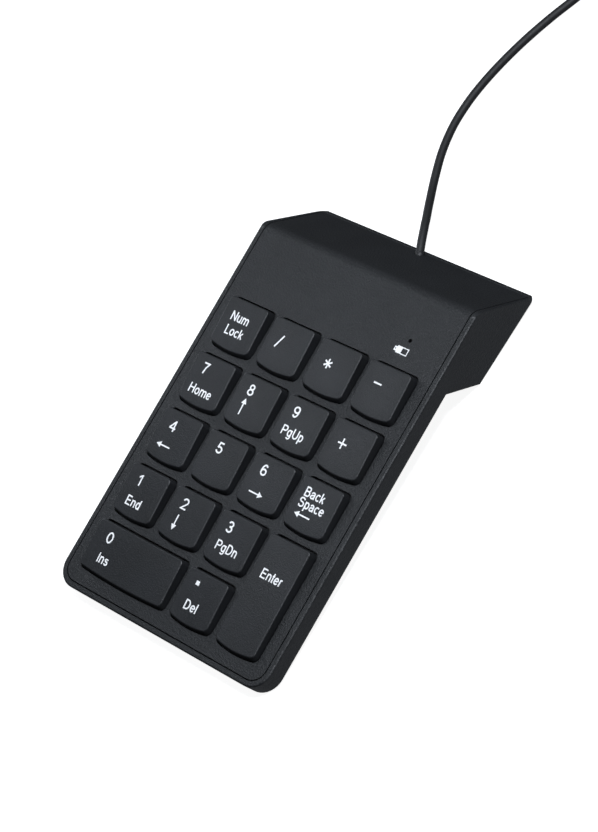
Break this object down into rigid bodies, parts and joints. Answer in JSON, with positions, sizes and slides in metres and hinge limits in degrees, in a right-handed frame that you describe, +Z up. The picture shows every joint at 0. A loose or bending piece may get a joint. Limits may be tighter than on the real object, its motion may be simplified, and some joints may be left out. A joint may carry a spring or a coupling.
{
  "type": "numeric keypad",
  "caption": "Slim wedge-shaped numeric keypad with low square keys, a tall entry key, a wide zero key, a thicker block along its back and a thin cord with a flat plug.",
  "frame": {"origin": "on the standing surface, under the middle of the case's own box (the cord and plug left out)", "axes": "+X to the user's right along the rows of keys, +Y away from the user towards the cord, +Z up from the standing surface"},
  "size_m": [0.0956, 0.2666, 0.0211],
  "materials": {
    "case_plastic": "fine moulded texture, charcoal black",
    "key_plastic": "fine moulded texture, charcoal black",
    "legend_ink": "pad-printed white ink",
    "dome_rubber": "translucent grey silicone",
    "foot_rubber": "matt black",
    "cord_jacket": "slightly glossy flexible jacket",
    "plug_plastic": "satin overmoulding",
    "plug_steel": "nickel plated",
    "screw_steel": "zinc plated",
    "plate_steel": "rolled sheet",
    "sheet_film": "polyester film",
    "board_laminate": "solder mask",
    "chip_epoxy": "moulded epoxy",
    "light_acrylic": "clear moulding"
  },
  "bodies": {
    "case": {"bottom_case": "case_plastic", "top_cover": "case_plastic", "backing_plate": "plate_steel", "membrane_top": "sheet_film", "membrane_bottom": "sheet_film", "controller_board": "board_laminate", "controller_chip": "chip_epoxy", "light_pipe": "light_acrylic", "slab_screw_left": "screw_steel", "slab_screw_right": "screw_steel", "block_screw_left": "screw_steel", "block_screw_right": "screw_steel", "front_foot_left": "foot_rubber", "front_foot_right": "foot_rubber", "rear_foot_left": "foot_rubber", "rear_foot_right": "foot_rubber", "strain_relief": "cord_jacket", "cord_lead": "cord_jacket", "cord_coil": "cord_jacket", "cord_tail": "cord_jacket", "plug_grip": "plug_plastic", "plug_shell": "plug_steel", "dome_num_lock": "dome_rubber", "dome_divide": "dome_rubber", "dome_multiply": "dome_rubber", "dome_minus": "dome_rubber", "dome_7": "dome_rubber", "dome_8": "dome_rubber", "dome_9": "dome_rubber", "dome_plus": "dome_rubber", "dome_4": "dome_rubber", "dome_5": "dome_rubber", "dome_6": "dome_rubber", "dome_backspace": "dome_rubber", "dome_1": "dome_rubber", "dome_2": "dome_rubber", "dome_3": "dome_rubber", "dome_enter": "dome_rubber", "dome_0": "dome_rubber", "dome_decimal": "dome_rubber"},
    "num_lock_key": {"key_num_lock": "key_plastic"},
    "divide_key": {"key_divide": "key_plastic"},
    "multiply_key": {"key_multiply": "key_plastic"},
    "minus_key": {"key_minus": "key_plastic"},
    "7_key": {"key_7": "key_plastic"},
    "8_key": {"key_8": "key_plastic"},
    "9_key": {"key_9": "key_plastic"},
    "plus_key": {"key_plus": "key_plastic"},
    "4_key": {"key_4": "key_plastic"},
    "5_key": {"key_5": "key_plastic"},
    "6_key": {"key_6": "key_plastic"},
    "backspace_key": {"key_backspace": "key_plastic"},
    "1_key": {"key_1": "key_plastic"},
    "2_key": {"key_2": "key_plastic"},
    "3_key": {"key_3": "key_plastic"},
    "enter_key": {"key_enter": "key_plastic"},
    "0_key": {"key_0": "key_plastic"},
    "decimal_key": {"key_decimal": "key_plastic"}
  },
  "joints": [
    {"name": "press_num_lock", "type": "slide", "parent": "case", "child": "num_lock_key", "axis": [0, 0.1143, -0.9935], "range_m": [0, 0.0019], "stiffness_N_per_m": 260, "springref_m": -0.0008, "deforming": ["dome_num_lock"]},
    {"name": "press_divide", "type": "slide", "parent": "case", "child": "divide_key", "axis": [0, 0.1143, -0.9935], "range_m": [0, 0.0019], "stiffness_N_per_m": 260, "springref_m": -0.0008, "deforming": ["dome_divide"]},
    {"name": "press_multiply", "type": "slide", "parent": "case", "child": "multiply_key", "axis": [0, 0.1143, -0.9935], "range_m": [0, 0.0019], "stiffness_N_per_m": 260, "springref_m": -0.0008, "deforming": ["dome_multiply"]},
    {"name": "press_minus", "type": "slide", "parent": "case", "child": "minus_key", "axis": [0, 0.1143, -0.9935], "range_m": [0, 0.0019], "stiffness_N_per_m": 260, "springref_m": -0.0008, "deforming": ["dome_minus"]},
    {"name": "press_7", "type": "slide", "parent": "case", "child": "7_key", "axis": [0, 0.1143, -0.9935], "range_m": [0, 0.0019], "stiffness_N_per_m": 260, "springref_m": -0.0008, "deforming": ["dome_7"]},
    {"name": "press_8", "type": "slide", "parent": "case", "child": "8_key", "axis": [0, 0.1143, -0.9935], "range_m": [0, 0.0019], "stiffness_N_per_m": 260, "springref_m": -0.0008, "deforming": ["dome_8"]},
    {"name": "press_9", "type": "slide", "parent": "case", "child": "9_key", "axis": [0, 0.1143, -0.9935], "range_m": [0, 0.0019], "stiffness_N_per_m": 260, "springref_m": -0.0008, "deforming": ["dome_9"]},
    {"name": "press_plus", "type": "slide", "parent": "case", "child": "plus_key", "axis": [0, 0.1143, -0.9935], "range_m": [0, 0.0019], "stiffness_N_per_m": 260, "springref_m": -0.0008, "deforming": ["dome_plus"]},
    {"name": "press_4", "type": "slide", "parent": "case", "child": "4_key", "axis": [0, 0.1143, -0.9935], "range_m": [0, 0.0019], "stiffness_N_per_m": 260, "springref_m": -0.0008, "deforming": ["dome_4"]},
    {"name": "press_5", "type": "slide", "parent": "case", "child": "5_key", "axis": [0, 0.1143, -0.9935], "range_m": [0, 0.0019], "stiffness_N_per_m": 260, "springref_m": -0.0008, "deforming": ["dome_5"]},
    {"name": "press_6", "type": "slide", "parent": "case", "child": "6_key", "axis": [0, 0.1143, -0.9935], "range_m": [0, 0.0019], "stiffness_N_per_m": 260, "springref_m": -0.0008, "deforming": ["dome_6"]},
    {"name": "press_backspace", "type": "slide", "parent": "case", "child": "backspace_key", "axis": [0, 0.1143, -0.9935], "range_m": [0, 0.0019], "stiffness_N_per_m": 260, "springref_m": -0.0008, "deforming": ["dome_backspace"]},
    {"name": "press_1", "type": "slide", "parent": "case", "child": "1_key", "axis": [0, 0.1143, -0.9935], "range_m": [0, 0.0019], "stiffness_N_per_m": 260, "springref_m": -0.0008, "deforming": ["dome_1"]},
    {"name": "press_2", "type": "slide", "parent": "case", "child": "2_key", "axis": [0, 0.1143, -0.9935], "range_m": [0, 0.0019], "stiffness_N_per_m": 260, "springref_m": -0.0008, "deforming": ["dome_2"]},
    {"name": "press_3", "type": "slide", "parent": "case", "child": "3_key", "axis": [0, 0.1143, -0.9935], "range_m": [0, 0.0019], "stiffness_N_per_m": 260, "springref_m": -0.0008, "deforming": ["dome_3"]},
    {"name": "press_enter", "type": "slide", "parent": "case", "child": "enter_key", "axis": [0, 0.1143, -0.9935], "range_m": [0, 0.0019], "stiffness_N_per_m": 260, "springref_m": -0.0008, "deforming": ["dome_enter"]},
    {"name": "press_0", "type": "slide", "parent": "case", "child": "0_key", "axis": [0, 0.1143, -0.9935], "range_m": [0, 0.0019], "stiffness_N_per_m": 260, "springref_m": -0.0008, "deforming": ["dome_0"]},
    {"name": "press_decimal", "type": "slide", "parent": "case", "child": "decimal_key", "axis": [0, 0.1143, -0.9935], "range_m": [0, 0.0019], "stiffness_N_per_m": 260, "springref_m": -0.0008, "deforming": ["dome_decimal"]}
  ]
}
